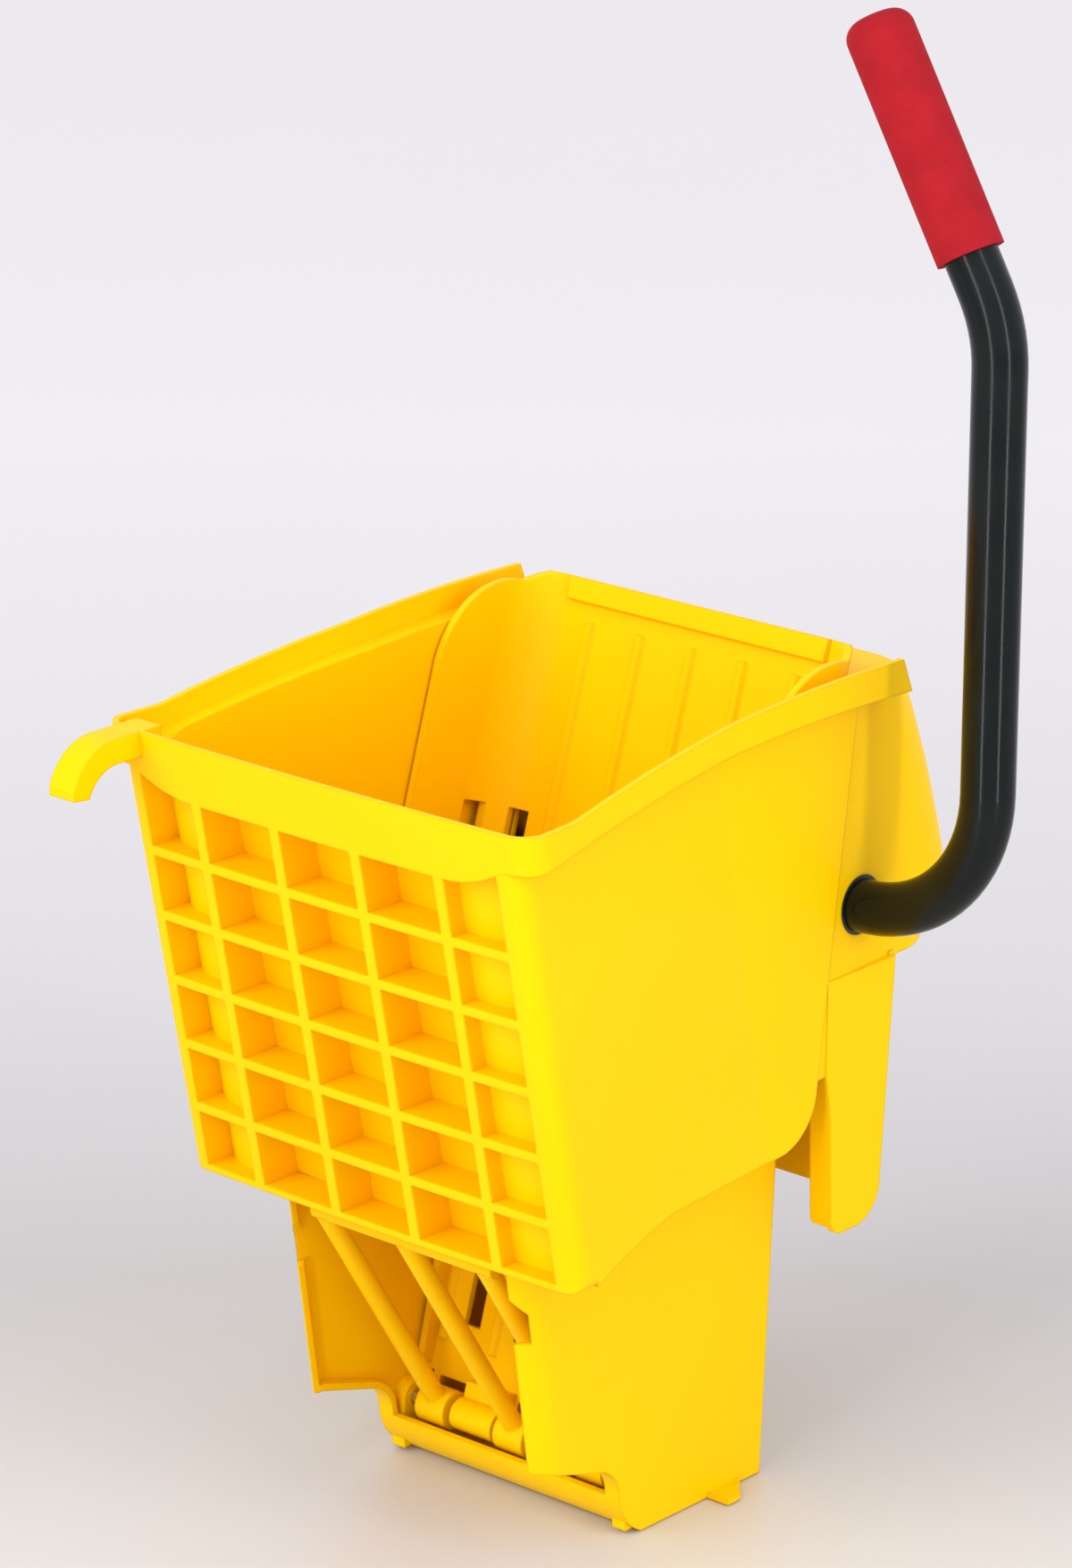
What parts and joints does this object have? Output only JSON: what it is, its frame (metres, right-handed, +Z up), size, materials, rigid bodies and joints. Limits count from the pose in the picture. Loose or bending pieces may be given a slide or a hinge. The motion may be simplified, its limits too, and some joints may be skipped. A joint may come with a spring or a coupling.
{
  "type": "side-press mop wringer",
  "caption": "Side-press mop wringer: yellow waffled basket and chute, hinged press plate on cam tracks, bent tube lever with foam grip, bucket-rim leg and hook.",
  "frame": {"origin": "centre of the flat base the wringer stands on", "axes": "+Z up, waffled front faces -Y, +X towards the side with the lever"},
  "size_m": [0.3197, 0.393, 0.7086],
  "materials": {
    "yellow_moulding": "satin",
    "black_enamel": "gloss",
    "red_foam": "matte",
    "bright_steel": "satin",
    "zinc_steel": "satin",
    "spring_steel": "satin",
    "black_plastic": "matte",
    "black_acetal": "satin",
    "cast_arm": "cast"
  },
  "bodies": {
    "frame": {"basket": "yellow_moulding", "chute": "yellow_moulding", "rear_cover": "yellow_moulding", "front_grate": "yellow_moulding", "hinge_rod": "bright_steel", "axle_bush_right": "black_acetal", "axle_bush_left": "black_acetal", "return_spring_right": "spring_steel", "return_spring_left": "spring_steel"},
    "plate": {"press_plate": "yellow_moulding"},
    "lever": {"lever_tube": "black_enamel", "foam_grip": "red_foam", "axle_plug": "black_plastic", "axle_collar": "zinc_steel", "collar_pin": "bright_steel", "crank_arm_right": "cast_arm", "crank_arm_left": "cast_arm", "arm_bolts": "zinc_steel", "arm_nuts": "zinc_steel", "axle_spacers": "zinc_steel", "roller_pins": "bright_steel", "pin_clips": "zinc_steel"},
    "right_roller": {"roller_right": "black_acetal"},
    "left_roller": {"roller_left": "black_acetal"}
  },
  "joints": [
    {"name": "lever_swing", "type": "hinge", "parent": "frame", "child": "lever", "pos_m": [0, 0.075, 0.287], "axis": [-1, 0, 0], "range_deg": [0, 55]},
    {"name": "plate_swing", "type": "hinge", "parent": "frame", "child": "plate", "pos_m": [0, -0.043, 0.026], "axis": [1, 0, 0], "range_deg": [0, 23], "deforming": ["return_spring_right", "return_spring_left"]},
    {"name": "right_roller_turn", "type": "hinge", "parent": "lever", "child": "right_roller", "pos_m": [0.05, 0.03905, 0.20231], "axis": [1, 0, 0], "continuous": true},
    {"name": "left_roller_turn", "type": "hinge", "parent": "lever", "child": "left_roller", "pos_m": [-0.05, 0.03905, 0.20231], "axis": [1, 0, 0], "continuous": true}
  ],
  "couplings": [
    {"joint": "plate_swing", "follows": "lever_swing", "ratio": 0.41818}
  ]
}
